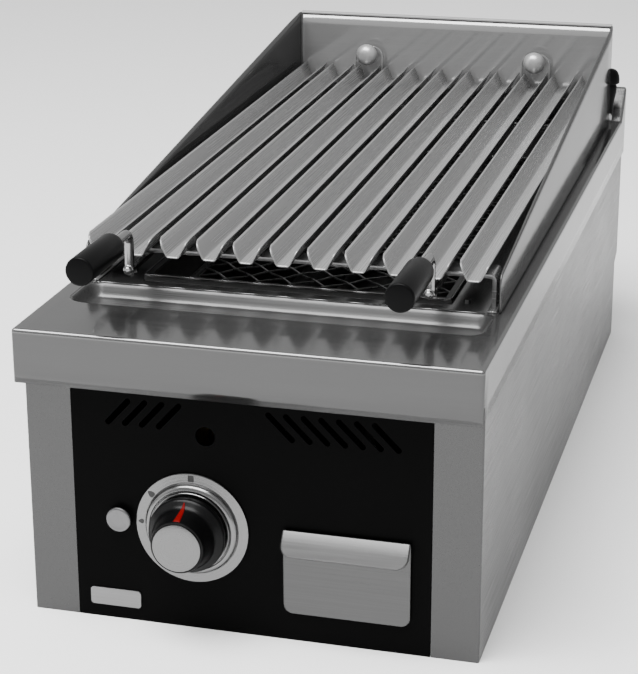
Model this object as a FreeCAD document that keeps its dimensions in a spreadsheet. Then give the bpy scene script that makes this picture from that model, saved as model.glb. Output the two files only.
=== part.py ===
import FreeCAD, Part
import Sketcher
import math
import os
from FreeCAD import Placement, Rotation, Vector

# Counter-top gas charbroiler. Millimetres, +Z up, the control panel faces -Y.
# The origin is the centre of the flat underside.

doc = FreeCAD.newDocument("Charbroiler")
sheet = doc.addObject("Spreadsheet::Sheet", "Sizes")

sizes = [
    ("width", 400, "worktop, side to side"),
    ("depth", 900, "worktop, fascia to rear edge"),
    ("topHeight", 266, "underside to cooking-deck surface"),
    ("fasciaDrop", 47.5, "front fascia height"),
    ("flangeDrop", 43.5, "side and rear flange height"),
    ("sheetThick", 1.5, "stainless sheet"),
    ("bendRadius", 3, "outer bend of the worktop"),
    ("inset", 2.3, "side panel set in from the flange face"),
    ("setback", 18.3, "pillars and panel behind the fascia"),
    ("pillarWidth", 41, "front face of a side panel"),
    ("stepDepth", 21, "lower rear set in for the gas pipe"),
    ("stepHeight", 89, "height of that set-in"),
    ("upstandRise", 34.6, "rear upstand above the deck"),
    ("upstandRun", 34, "depth of its sloping face"),
    ("troughStart", 79.5, "grease trough, front edge"),
    ("troughEnd", 139, "grease trough, rear edge"),
    ("troughHalf", 183, "grease trough, half width"),
    ("troughDeep", 12, "grease trough depth"),
    ("troughLean", 8, "how far the trough walls lean in"),
    ("troughCorner", 15, "grease trough, corner radius"),
    ("fireStart", 162, "firebox rim, front edge"),
    ("fireEnd", 802, "firebox rim, rear edge"),
    ("fireHalf", 140, "firebox rim, half width"),
    ("fireDeep", 150, "firebox depth"),
    ("guardStart", 140, "splash guard, front edge"),
    ("guardEnd", 851, "splash guard, rear face"),
    ("guardHalf", 185.3, "splash guard, half width"),
    ("guardFront", 34, "guard height at the front"),
    ("guardRear", 116, "guard height at the rear"),
    ("grateStart", 124, "front ends of the channels"),
    ("grateLength", 724, "channel length"),
    ("gratePitch", 33.2, "channel spacing"),
    ("grateTop", 27, "channel width at the top"),
    ("grateFloor", 11.4, "channel width at the floor"),
    ("grateDeep", 16.2, "channel height"),
    ("grateLift", 31.2, "channel floor above the deck at the front"),
    ("grateFall", 0.6, "slope of the channels in degrees"),
    ("gripLength", 76, "handle grip"),
    ("gripRadius", 12.3, "handle grip"),
    ("knobX", -50.5, "gas control, across"),
    ("knobZ", 94.6, "gas control, height"),
    ("dialRadius", 50, "bezel"),
    ("knobRadius", 33.5, "knob skirt"),
    ("knobReach", 44, "knob face in front of the panel"),
    ("buttonX", -115.3, "igniter button, across"),
    ("buttonZ", 96.5, "igniter button, height"),
    ("drawerLeft", 30, "drawer front, left edge"),
    ("drawerRight", 139.3, "drawer front, right edge"),
    ("drawerBase", 27, "drawer front, lower edge"),
    ("drawerCrest", 107, "drawer front, upper edge"),
    ("slotPitch", 15, "vent slot spacing"),
    ("inletX", -120, "gas inlet, across"),
    ("inletZ", 45, "gas inlet, height"),
    ("inletRadius", 10.4, "half-inch male thread, outside radius"),
]

for row, (alias, number, note) in enumerate(sizes, start=1):
    sheet.set(f"A{row}", note)
    sheet.set(f"B{row}", str(number))
    sheet.setAlias(f"B{row}", alias)
doc.recompute()


class Dim:
    """A length that carries its number and the sheet expression behind it."""

    def __init__(self, number, text):
        self.number = number
        self.text = text

    def __add__(self, other):
        other = dim(other)
        return Dim(self.number + other.number, f"({self.text} + {other.text})")

    def __sub__(self, other):
        other = dim(other)
        return Dim(self.number - other.number, f"({self.text} - {other.text})")

    def __mul__(self, factor):
        return Dim(self.number * factor, f"({self.text} * {factor})")

    def __neg__(self):
        return Dim(-self.number, f"(-1 * {self.text})")

    __radd__ = __add__
    __rmul__ = __mul__


def dim(value):
    """Plain numbers become Dims, so that both can be mixed."""
    if isinstance(value, Dim):
        return value
    return Dim(float(value), f"({float(value)})")


def size(alias):
    return Dim(float(sheet.get(alias)), f"Sizes.{alias}")


def bind(target, name, value):
    target.setExpression(name, dim(value).text)


pieces = []


def newBody(label, at=(0, 0, 0), turn=None):
    """An empty body with its own label and placement, listed for export."""
    body = doc.addObject("PartDesign::Body", label)
    body.Label = label
    body.Placement = Placement(Vector(0, 0, 0), turn or Rotation())
    for letter, value in zip("xyz", at):
        bind(body, f"Placement.Base.{letter}", value)
    pieces.append(body)
    return body


def newSketch(body, role, level):
    """A sketch on one of the body's own origin planes, lifted by level."""
    sketch = body.newObject("Sketcher::SketchObject", f"{body.Label}_sketch")
    plane = [item for item in body.Origin.OriginFeatures if item.Role == role][0]
    sketch.AttachmentSupport = [(plane, "")]
    sketch.MapMode = "FlatFace"
    bind(sketch, "AttachmentOffset.Base.z", level)
    return sketch


def pinPoint(sketch, geometry, end, x, y):
    """Ties one point of the sketch to the sheet."""
    for kind, value in (("DistanceX", dim(x)), ("DistanceY", dim(y))):
        rule = Sketcher.Constraint(kind, -1, 1, geometry, end, value.number)
        index = sketch.addConstraint(rule)
        sketch.setExpression(f"Constraints[{index}]", value.text)


def addPolygon(sketch, points):
    first = sketch.GeometryCount
    count = len(points)
    corners = [Vector(dim(x).number, dim(y).number, 0) for x, y in points]
    for i in range(count):
        sketch.addGeometry(Part.LineSegment(corners[i], corners[(i + 1) % count]))
    for i in range(count):
        following = first + (i + 1) % count
        sketch.addConstraint(Sketcher.Constraint("Coincident", first + i, 2, following, 1))
    for i, (x, y) in enumerate(points):
        pinPoint(sketch, first + i, 1, x, y)


def addCircle(sketch, x, y, radius):
    centre = Vector(dim(x).number, dim(y).number, 0)
    circle = Part.Circle(centre, Vector(0, 0, 1), dim(radius).number)
    index = sketch.addGeometry(circle)
    pinPoint(sketch, index, 3, x, y)
    rule = sketch.addConstraint(Sketcher.Constraint("Radius", index, dim(radius).number))
    sketch.setExpression(f"Constraints[{rule}]", dim(radius).text)


def addSlot(sketch, start, end, radius):
    """A round-ended slot between two centres."""
    first = sketch.GeometryCount
    centres = [Vector(dim(x).number, dim(y).number, 0) for x, y in (start, end)]
    along = centres[1] - centres[0]
    heading = math.atan2(along.y, along.x)
    across = Vector(-math.sin(heading), math.cos(heading), 0) * radius
    up = Vector(0, 0, 1)
    quarter = math.pi / 2
    circles = [Part.Circle(centre, up, radius) for centre in centres]
    sketch.addGeometry(Part.ArcOfCircle(circles[0], heading + quarter, heading + 3 * quarter))
    sketch.addGeometry(Part.ArcOfCircle(circles[1], heading - quarter, heading + quarter))
    sketch.addGeometry(Part.LineSegment(centres[0] - across, centres[1] - across))
    sketch.addGeometry(Part.LineSegment(centres[1] + across, centres[0] + across))
    joins = ((0, 2, 2, 1), (1, 1, 2, 2), (1, 2, 3, 1), (0, 1, 3, 2))
    for one, oneEnd, two, twoEnd in joins:
        rule = Sketcher.Constraint("Tangent", first + one, oneEnd, first + two, twoEnd)
        sketch.addConstraint(rule)
    sketch.addConstraint(Sketcher.Constraint("Equal", first, first + 1))
    sketch.addConstraint(Sketcher.Constraint("Radius", first, radius))
    pinPoint(sketch, first, 3, *start)
    pinPoint(sketch, first + 1, 3, *end)


def rectangle(left, right, low, high):
    return [(left, low), (right, low), (right, high), (left, high)]


def addPad(body, role, draw, low, high):
    """Adds material between two levels along the plane's normal axis."""
    backwards = role == "XZ_Plane"
    sketch = newSketch(body, role, -dim(high) if backwards else low)
    draw(sketch)
    pad = body.newObject("PartDesign::Pad", f"{body.Label}_pad")
    pad.Profile = sketch
    bind(pad, "Length", dim(high) - low)
    doc.recompute()
    return pad


def addPocket(body, role, draw, low, high):
    """Removes material between two levels, and checks that it did."""
    before = body.Shape.Volume
    backwards = role == "XZ_Plane"
    sketch = newSketch(body, role, -dim(low) if backwards else high)
    draw(sketch)
    pocket = body.newObject("PartDesign::Pocket", f"{body.Label}_pocket")
    pocket.Profile = sketch
    bind(pocket, "Length", dim(high) - low)
    doc.recompute()
    if body.Shape.Volume >= before - 0.01:
        raise RuntimeError(f"a pocket of {body.Label} cut nothing")
    return pocket


def polygon(points):
    return lambda sketch: addPolygon(sketch, points)


def circles(places, radius):
    def draw(sketch):
        for x, y in places:
            addCircle(sketch, x, y, radius)
    return draw


def prism(label, role, points, low, high, at=(0, 0, 0), turn=None):
    body = newBody(label, at, turn)
    addPad(body, role, polygon(points), low, high)
    return body


def turned(label, profile, at=(0, 0, 0), turn=None):
    """A solid of revolution: profile points are radius and height on the body's own Z."""
    body = newBody(label, at, turn)
    sketch = newSketch(body, "XZ_Plane", 0)
    addPolygon(sketch, profile)
    spin = body.newObject("PartDesign::Revolution", f"{label}_turned")
    spin.Profile = sketch
    spin.ReferenceAxis = (sketch, ["V_Axis"])
    spin.Angle = 360
    doc.recompute()
    return body


def paired(label, bodies):
    """Identical pieces kept as one node of separate solids."""
    for body in bodies:
        pieces.remove(body)
    group = doc.addObject("Part::Compound", label)
    group.Label = label
    group.Links = bodies
    pieces.append(group)
    doc.recompute()


def roundEdges(body, radius, wanted):
    """Fillets the edges of the body's tip that wanted accepts."""
    tip = body.Tip
    names = []
    for index, edge in enumerate(tip.Shape.Edges, start=1):
        if wanted(edge):
            names.append(f"Edge{index}")
    if not names:
        raise RuntimeError(f"no edge to round on {body.Label}")
    fillet = body.newObject("PartDesign::Fillet", f"{body.Label}_fillet")
    fillet.Base = (tip, names)
    bind(fillet, "Radius", radius)
    doc.recompute()


def edgeAlong(edge, axis):
    """True for a straight edge parallel to one of x, y or z."""
    if edge.Curve.TypeId != "Part::GeomLine":
        return False
    direction = edge.Curve.Direction
    return abs(abs(getattr(direction, axis)) - 1) < 1e-6


def near(value, target):
    return abs(value - dim(target).number) < 0.01


sides = (("left", -1), ("right", 1))
facing = Rotation(Vector(1, 0, 0), 90)       # own Z points to -Y, out of the panel
backing = Rotation(Vector(1, 0, 0), -90)     # own Z points to +Y
sideways = Rotation(Vector(0, 1, 0), 90)     # own Z points to +X

half = size("width") * 0.5
front = -size("depth") * 0.5
rear = size("depth") * 0.5
thick = size("sheetThick")
top = size("topHeight")
panelFace = front + size("setback")

# ---- casing -------------------------------------------------------------

sideFace = half - size("inset")
pillarEdge = sideFace - size("pillarWidth")
sideRear = rear - 1.8
sideTop = top - 3
stepFace = rear - size("stepDepth") - 0.7
pillarReturn = 22

for name, sign in (("left_side_panel", -1), ("right_side_panel", 1)):
    outline = [
        (sideFace, panelFace), (sideFace, sideRear),
        (sideFace - thick, sideRear), (sideFace - thick, panelFace + thick),
        (pillarEdge + thick, panelFace + thick), (pillarEdge + thick, panelFace + pillarReturn),
        (pillarEdge, panelFace + pillarReturn), (pillarEdge, panelFace),
    ]
    sided = [(x * sign, y) for x, y in outline]
    sidePanel = prism(name, "XY_Plane", sided, 0, sideTop)
    stepCut = [
        (stepFace, -1), (rear + 5, -1), (rear + 5, size("stepHeight") + 9),
        (sideRear, size("stepHeight") + 9), (stepFace, size("stepHeight")),
    ]
    addPocket(sidePanel, "YZ_Plane", polygon(stepCut), -half, half)
    bend = panelFace.number
    roundEdges(sidePanel, 2, lambda edge: edgeAlong(edge, "z") and near(edge.CenterOfMass.y, bend)
               and near(abs(edge.CenterOfMass.x), sideFace))

baseHalf = sideFace - thick - 0.4
baseRear = stepFace - thick - 0.6
baseFront = panelFace + pillarReturn + 0.5
basePlate = prism("base_plate", "XY_Plane", rectangle(-baseHalf, baseHalf, baseFront, baseRear), 0, 18)
addPocket(basePlate, "XY_Plane",
          polygon(rectangle(-baseHalf + thick, baseHalf - thick, baseFront - 1, baseRear - thick)),
          thick, 19)
# air inlets under the burners
airInlets = [(column * 60.0, row * 110.0) for column in (-1.5, -0.5, 0.5, 1.5) for row in (-1, 0, 1, 2)]
addPocket(basePlate, "XY_Plane", circles(airInlets, 16), -1, 3)

rearLow = stepFace - thick - 0.2
rearHigh = rear - 4.2
rearOutline = [
    (rearLow, 2.5), (rearLow + thick, 2.5), (rearLow + thick, size("stepHeight")),
    (rearHigh + thick, size("stepHeight") + 8), (rearHigh + thick, sideTop),
    (rearHigh, sideTop), (rearHigh, size("stepHeight") + 9),
    (rearLow, size("stepHeight") + 1),
]
rearPanel = prism("rear_panel", "YZ_Plane", rearOutline, -baseHalf + 0.2, baseHalf - 0.2)
addPocket(rearPanel, "XZ_Plane", circles([(size("inletX"), size("inletZ"))], size("inletRadius") + 0.6),
          rearLow - 2, rearLow + 5)

# ---- worktop: one pressed sheet with fascia, flanges, upstand and trough ----

worktop = newBody("worktop")
flangeFoot = top - size("flangeDrop")
fasciaFoot = top - size("fasciaDrop")
upstandFoot = rear - size("upstandRun")
addPad(worktop, "XY_Plane", polygon(rectangle(-half, half, front, rear)), flangeFoot, top)
addPad(worktop, "YZ_Plane", polygon([(upstandFoot, top - 1), (upstandFoot, top),
                                     (rear, top + size("upstandRise")), (rear, top - 1)]), -half, half)
addPad(worktop, "XY_Plane", polygon(rectangle(-half, half, front, front + thick)), fasciaFoot, flangeFoot + 1)
addPocket(worktop, "XY_Plane",
          polygon(rectangle(-half + thick, half - thick, front + thick, rear - thick)),
          flangeFoot - 1, top - thick)
addPocket(worktop, "YZ_Plane",
          polygon([(upstandFoot + 4, top - thick - 1), (upstandFoot + 4, top - thick + 0.01),
                   (rear - thick, top + size("upstandRise") - 3.6), (rear - thick, top - thick - 1)]),
          -half + thick, half - thick)


def addRounded(sketch, left, right, low, high, radius):
    """A rectangle with round corners: four arcs joined by four tangent lines."""
    first = sketch.GeometryCount
    left, right, low, high, radius = (dim(value) for value in (left, right, low, high, radius))
    centres = [(right - radius, high - radius), (left + radius, high - radius),
               (left + radius, low + radius), (right - radius, low + radius)]
    spots = [Vector(x.number, y.number, 0) for x, y in centres]
    quarter = math.pi / 2
    for index, spot in enumerate(spots):
        circle = Part.Circle(spot, Vector(0, 0, 1), radius.number)
        sketch.addGeometry(Part.ArcOfCircle(circle, index * quarter, (index + 1) * quarter))
    for index in range(4):
        angle = (index + 1) * quarter
        outward = Vector(math.cos(angle), math.sin(angle), 0) * radius.number
        sketch.addGeometry(Part.LineSegment(spots[index] + outward, spots[(index + 1) % 4] + outward))
    for index in range(4):
        line = first + 4 + index
        sketch.addConstraint(Sketcher.Constraint("Tangent", first + index, 2, line, 1))
        sketch.addConstraint(Sketcher.Constraint("Tangent", line, 2, first + (index + 1) % 4, 1))
    for index, (x, y) in enumerate(centres):
        pinPoint(sketch, first + index, 3, x, y)
    for index in range(4):
        rule = sketch.addConstraint(Sketcher.Constraint("Radius", first + index, radius.number))
        sketch.setExpression(f"Constraints[{rule}]", radius.text)


def rounded(left, right, low, high, radius):
    return lambda sketch: addRounded(sketch, left, right, low, high, radius)


def pressedPan(body, grown, high, low, lean, kind):
    """The trough's tapered form between two levels, drawn in by grown all round."""
    sections = []
    for level, drawnIn in ((high, grown), (low, grown + lean)):
        sketch = newSketch(body, "XY_Plane", level)
        addRounded(sketch, -size("troughHalf") + drawnIn, size("troughHalf") - drawnIn,
                   front + size("troughStart") + drawnIn, front + size("troughEnd") - drawnIn,
                   size("troughCorner") - drawnIn)
        sections.append(sketch)
    before = body.Shape.Volume
    loft = body.newObject(kind, f"{body.Label}_trough")
    loft.Profile = sections[0]
    loft.Sections = [sections[1]]
    loft.Ruled = True
    doc.recompute()
    if abs(body.Shape.Volume - before) < 1:
        raise RuntimeError("the trough changed nothing")


troughFloor = top - size("troughDeep")
pressedPan(worktop, 0, top - 0.5, troughFloor, size("troughLean"), "PartDesign::AdditiveLoft")
pressedPan(worktop, 1.6, top, troughFloor + thick, size("troughLean"), "PartDesign::SubtractiveLoft")
drainX = (size("drawerLeft") + size("drawerRight")) * 0.5
drainY = front + 108
drainRadius = 9
addPocket(worktop, "XY_Plane", circles([(drainX, drainY)], drainRadius), top - size("troughDeep") - 1, top)
addPocket(worktop, "XY_Plane",
          polygon(rectangle(-size("fireHalf") + 3.5, size("fireHalf") - 3.5,
                            front + size("fireStart") + 3.5, front + size("fireEnd") - 3.5)),
          top - 3, top + 1)
studX = size("guardHalf") - 0.8
studY = front + size("guardEnd") + 11.5
addPocket(worktop, "XY_Plane", circles([(-studX, studY), (studX, studY)], 3.2), top - 3, top + 5)
# relief cuts where the fascia and the side flanges meet
reliefStart = front + thick
reliefCut = rectangle(reliefStart, reliefStart + 2, flangeFoot - 1, flangeFoot + 12)
addPocket(worktop, "YZ_Plane", polygon(reliefCut), -half - 1, half + 1)
worktopFaceEdges = lambda edge: near(edge.CenterOfMass.z, top) and (
    (edgeAlong(edge, "x") and near(edge.CenterOfMass.y, front))
    or (edgeAlong(edge, "y") and near(abs(edge.CenterOfMass.x), half)))
roundEdges(worktop, size("bendRadius"), worktopFaceEdges)

# ---- control panel --------------------------------------------------------

panelHalf = pillarEdge - 0.5
panelHigh = top - 24
controlPanel = prism("control_panel", "XZ_Plane", rectangle(-panelHalf, panelHalf, 0, panelHigh),
                     panelFace, panelFace + thick)
for low, high in ((0, thick), (panelHigh - thick, panelHigh)):
    addPad(controlPanel, "XY_Plane",
           polygon(rectangle(-panelHalf + 2, panelHalf - 2, panelFace + 0.5, panelFace + 3.6)), low, high)
slotLow, slotHigh = 183.6, 203.5
slotRadius = 2.5


def ventSlots(sketch):
    """Four slots lean one way on the left and seven the other way on the right."""
    for index in range(4):
        x = size("slotPitch") * index - 123.5
        addSlot(sketch, (x, slotLow), (x + 18, slotHigh), slotRadius)
    for index in range(7):
        x = size("slotPitch") * index + 17.5
        addSlot(sketch, (x, slotHigh), (x + 20, slotLow), slotRadius)


addPocket(controlPanel, "XZ_Plane", ventSlots, panelFace - 1, panelFace + thick + 1)
addPocket(controlPanel, "XZ_Plane", circles([(-37.7, 178.7)], 8.5), panelFace - 1, panelFace + thick + 1)
addPocket(controlPanel, "XZ_Plane", circles([(size("knobX"), size("knobZ"))], 11),
          panelFace - 1, panelFace + thick + 1)
addPocket(controlPanel, "XZ_Plane", circles([(size("buttonX"), size("buttonZ"))], 8.2),
          panelFace - 1, panelFace + thick + 1)
addPocket(controlPanel, "XZ_Plane",
          polygon(rectangle(size("drawerLeft") + 3, size("drawerRight") - 3,
                            size("drawerBase") + 3, size("drawerCrest") - 20)),
          panelFace - 1, panelFace + thick + 1)

badge = newBody("blank_badge")
addPad(badge, "XZ_Plane", rounded(-145, -99, 12, 28, 3), panelFace - 1.2, panelFace)

# ---- gas control: bezel, valve, spindle, knob ------------------------------

knobAt = (size("knobX"), panelFace, size("knobZ"))
dialRadius = size("dialRadius")
turned("dial_bezel", [
    (12, 0), (dialRadius, 0), (dialRadius, 1.4), (dialRadius - 0.8, 2.2), (41.2, 2.2),
    (38.6, 6.8), (36.4, 7.4), (36.0, 6.4), (35.2, 6.0), (34.6, 8.6), (12, 8.6),
], knobAt, facing)

valveBody = prism("valve_body", "XY_Plane", rectangle(-17, 17, -17, 17), -46, -6,
                  knobAt, facing)
spindleRadius = 4
addPocket(valveBody, "XY_Plane", circles([(0, 0)], spindleRadius + 0.06), -40, -5)
addPad(valveBody, "XY_Plane", circles([(0, 0)], 9), -56, -45.5)

turned("valve_spindle", [(0, -31), (spindleRadius, -31), (spindleRadius, 24), (0, 24)], knobAt, facing)

skirt = size("knobRadius")
reach = size("knobReach")
knobGrip = turned("knob_grip", [
    (0, 24.1), (0, reach - 3.2), (21.4, reach - 3.2), (21.4, reach - 1.4), (22.3, reach - 1.4),
    (23.2, reach - 3), (24.6, reach - 12), (27.5, 22.5), (skirt - 1.2, 19.6), (skirt, 18),
    (skirt, 13.4), (skirt - 2.2, 13.4), (skirt - 2.2, 16.5), (9, 16.5), (9, 13.4),
    (4.1, 13.4), (4.1, 24.1),
], knobAt, facing)
turned("knob_cap", [
    (0, reach - 3.1), (21.2, reach - 3.1), (21.2, reach - 0.6), (20.6, reach), (0, reach),
], knobAt, facing)
knobPointer = prism("knob_pointer", "YZ_Plane",
                    [(24.2, reach - 2.8), (25.3, reach - 12), (28.6, 23.0), (31.6, 20.9),
                     (31.6, 21.5), (29.0, 23.6), (25.9, reach - 11.6), (24.9, reach - 2.8)],
                    -1.3, 1.3, knobAt, facing)

# ---- igniter ----------------------------------------------------------------

buttonAt = (size("buttonX"), panelFace, size("buttonZ"))
turned("igniter_button", [
    (0, -8), (5, -8), (5, 4.0), (11, 4.0), (11, 5.6), (10.2, 6.6), (8.4, 7.0), (0, 7.2),
], buttonAt, facing)
turned("igniter_body", [
    (5.06, -2.5), (8, -2.5), (8, -1.6), (10.5, -1.6), (10.5, -6), (9, -6), (9, -48), (0, -48),
    (0, -14), (5.06, -14),
], buttonAt, facing)

# ---- grease drawer -----------------------------------------------------------

drawerLeft = size("drawerLeft")
drawerRight = size("drawerRight")
crest = size("drawerCrest")
drawerFront = newBody("drawer_front")
plateBack = panelFace - 0.4
plateFace = plateBack - thick
addPad(drawerFront, "XZ_Plane", rounded(drawerLeft, drawerRight, size("drawerBase"), crest + 8, 8),
       plateFace, plateBack)
addPocket(drawerFront, "XZ_Plane", polygon(rectangle(drawerLeft - 1, drawerRight + 1, crest, crest + 9)),
          plateFace - 1, plateBack + 1)
flapReach = 16
flapFall = 22
addPad(drawerFront, "YZ_Plane",
       polygon([(plateFace + 0.4, crest), (plateFace + 0.4, crest - 2),
                (plateFace - flapReach + thick, crest - flapFall - 0.6),
                (plateFace - flapReach, crest - flapFall)]),
       drawerLeft, drawerRight)

trayLeft = drawerLeft + 6
trayRight = drawerRight - 6
trayBack = panelFace + 290
drawerTray = prism("drawer_tray", "XY_Plane", rectangle(trayLeft, trayRight, plateBack, trayBack),
                   size("drawerBase") + 6, crest - 24)
addPocket(drawerTray, "XY_Plane",
          polygon(rectangle(trayLeft + 1.2, trayRight - 1.2, plateBack + 1.2, trayBack - 1.2)),
          size("drawerBase") + 7.2, crest - 20)

railFoot = size("drawerBase") + 5.6
for name, outer, inner in (("drawer_rail_left", trayLeft - 4, trayLeft + 7),
                           ("drawer_rail_right", trayRight + 4, trayRight - 7)):
    step = thick if name.endswith("left") else -thick
    prism(name, "XZ_Plane",
          [(outer, thick + 0.1), (outer + step, thick + 0.1), (outer + step, railFoot - thick),
           (inner, railFoot - thick), (inner, railFoot), (outer, railFoot)],
          panelFace + 6, panelFace + 296)

turned("drain_spout", [
    (drainRadius, 0), (drainRadius + 3, 0), (drainRadius + 3, -2), (drainRadius + 1.2, -2),
    (drainRadius + 1.2, -150), (drainRadius, -150),
], (drainX, drainY, top - size("troughDeep") - 0.1))

# ---- firebox, mesh and burner ---------------------------------------------------

fireHalf = size("fireHalf")
fireFront = front + size("fireStart")
fireRear = front + size("fireEnd")
fireFoot = top - size("fireDeep")
burnerZ = top - 100
wall = 4.5
firebox = prism("firebox", "XY_Plane", rectangle(-fireHalf, fireHalf, fireFront, fireRear), top, top + thick)
addPad(firebox, "XY_Plane",
       polygon(rectangle(-fireHalf + wall, fireHalf - wall, fireFront + wall, fireRear - wall)),
       fireFoot, top + 0.5)
inner = wall + 1.5
addPocket(firebox, "XY_Plane",
          polygon(rectangle(-fireHalf + inner, fireHalf - inner, fireFront + inner, fireRear - inner)),
          fireFoot + 1.5, top + 3)
ledgeLevel = top - 34
for sign in (-1, 1):
    edges = sorted(((fireHalf - inner + 0.5) * sign, (fireHalf - inner - 8) * sign), key=lambda d: d.number)
    addPad(firebox, "XY_Plane", polygon(rectangle(*edges, fireFront + inner, fireRear - inner)),
           ledgeLevel - 1.5, ledgeLevel)
addPocket(firebox, "XZ_Plane", circles([(size("knobX"), burnerZ)], 21), fireFront + 2, fireFront + 10)
fireInlets = [(column * 50.0, row * 90.0 + 30) for column in (-2, 0, 2) for row in (-2, -1, 0, 1, 2)]
addPocket(firebox, "XY_Plane", circles(fireInlets, 14), fireFoot - 1, fireFoot + 3)

meshHalf = fireHalf - inner - 1
meshStart = fireFront + inner + 1
meshEnd = fireRear - inner - 1
mesh = prism("burner_mesh", "XY_Plane", rectangle(-meshHalf, meshHalf, meshStart, meshEnd),
             ledgeLevel + 0.05, ledgeLevel + 3)
cell = 32.0
window = 12.5


def diamonds(columns, shift):
    """One row of square windows that stand on their corners."""
    def draw(sketch):
        for column in columns:
            x = column * cell
            y = meshStart + shift
            addPolygon(sketch, [(x - window, y), (x, y - window), (x + window, y), (x, y + window)])
    return draw


evenColumns = (-3, -2, -1, 0, 1, 2, 3)
oddColumns = (-3.5, -2.5, -1.5, -0.5, 0.5, 1.5, 2.5, 3.5)
for columns, shift, rows in ((evenColumns, 24, 19), (oddColumns, 40, 18)):
    row = addPocket(mesh, "XY_Plane", diamonds(columns, shift), ledgeLevel - 1, ledgeLevel + 4)
    pattern = mesh.newObject("PartDesign::LinearPattern", "mesh_rows")
    pattern.Originals = [row]
    along = [item for item in mesh.Origin.OriginFeatures if item.Role == "Y_Axis"][0]
    pattern.Direction = (along, [""])
    pattern.Occurrences = rows
    pattern.Length = cell * (rows - 1)
    mesh.Tip = pattern
    doc.recompute()


def cylinder(name, radius, length, at, turn):
    item = doc.addObject("Part::Cylinder", name)
    item.Placement = Placement(Vector(0, 0, 0), turn)
    bind(item, "Radius", radius)
    bind(item, "Height", length)
    for letter, value in zip("xyz", at):
        bind(item, f"Placement.Base.{letter}", value)
    return item


def joined(label, parts):
    """Several primitives fused into one piece."""
    whole = doc.addObject("Part::MultiFuse", label)
    whole.Label = label
    whole.Shapes = parts
    whole.Refine = True
    pieces.append(whole)
    doc.recompute()
    return whole


tubeRadius = 19
headerY = fireFront + 40
burnerTube = [(0, 0), (tubeRadius, 0), (tubeRadius, 540), (tubeRadius - 4, 544), (0, 544)]
paired("burner_tubes", [
    turned(f"burner_{side}", burnerTube, (x, headerY + tubeRadius + 0.2, burnerZ), backing)
    for side, x in (("left", -66), ("right", 66))
])
joined("burner_header", [
    cylinder("headerTube", tubeRadius, 170, (-85, headerY, burnerZ), sideways),
    cylinder("venturiTube", 15, headerY - panelFace - 62, (size("knobX"), panelFace + 62, burnerZ), backing),
    cylinder("venturiMouth", 18, 14, (size("knobX"), panelFace + 62, burnerZ), backing),
])
bracketHalf = fireHalf - inner - 0.5
paired("burner_brackets", [
    prism(f"burner_bracket_{name}", "XZ_Plane",
          rectangle(-bracketHalf, bracketHalf, fireFoot + 1.6, burnerZ - tubeRadius - 0.1),
          front + y, front + y + 2)
    for name, y in (("front", 300), ("rear", 680))
])
turned("injector", [
    (0, 0), (7, 0), (7, 10), (4.5, 12), (4.5, 17), (3, 21), (0, 21),
], (size("knobX"), panelFace + 40, burnerZ), backing)
riserOutline = rectangle(size("knobX") - 6, size("knobX") + 6, panelFace + 30, panelFace + 39.9)
prism("valve_riser", "XY_Plane", riserOutline, size("knobZ") + 17.1, burnerZ + 8)
turned("thermocouple", [(0, 0), (3, 0), (3, 60), (1.5, 66), (0, 66)],
       (-20, fireFront + 12, burnerZ + 24), backing)
turned("spark_electrode", [(0, 0), (4, 0), (4, 40), (1.2, 44), (1.2, 62), (0, 62)],
       (-36, fireFront + 12, burnerZ + 26), backing)

inletZ = size("inletZ")
inletRun = newBody("supply_pipe")
route = newSketch(inletRun, "XY_Plane", inletZ)
bendSize = 24
turnX = size("inletX")
runEnd = panelFace + 30
route.addGeometry(Part.LineSegment(Vector(turnX.number, rearLow.number - 4, 0),
                                   Vector(turnX.number, runEnd.number + bendSize, 0)))
elbow = Part.Circle(Vector(turnX.number + bendSize, runEnd.number + bendSize, 0), Vector(0, 0, 1), bendSize)
route.addGeometry(Part.ArcOfCircle(elbow, math.pi, 1.5 * math.pi))
route.addGeometry(Part.LineSegment(Vector(turnX.number + bendSize, runEnd.number, 0),
                                   Vector(size("knobX").number - 12, runEnd.number, 0)))
route.addConstraint(Sketcher.Constraint("Tangent", 0, 2, 1, 1))
route.addConstraint(Sketcher.Constraint("Tangent", 1, 2, 2, 1))
pinPoint(route, 0, 1, turnX, rearLow - 4)
pinPoint(route, 1, 3, turnX + bendSize, runEnd + bendSize)
pinPoint(route, 2, 2, size("knobX") - 12, runEnd)
section = newSketch(inletRun, "XZ_Plane", -(rearLow - 4))
addCircle(section, turnX, inletZ, 6)
pipe = inletRun.newObject("PartDesign::AdditivePipe", "pipe")
pipe.Profile = section
pipe.Spine = (route, ["Edge1", "Edge2", "Edge3"])
doc.recompute()
valveInlet = prism("valve_inlet", "XY_Plane",
                   rectangle(size("knobX") - 11.9, size("knobX") + 8, runEnd - 9, runEnd + 9),
                   inletZ - 9, size("knobZ") - 17.1)
turned("gas_inlet", [
    (0, -3.9), (7, -3.9), (7, 2), (14, 2), (14, 2.5), (size("inletRadius"), 2.5),
    (size("inletRadius"), 24.2), (size("inletRadius") - 1, 25.2), (7.5, 25.2), (7.5, 3), (0, 3),
], (turnX, rearLow + thick, inletZ), backing)

# ---- splash guard ------------------------------------------------------------------

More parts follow.
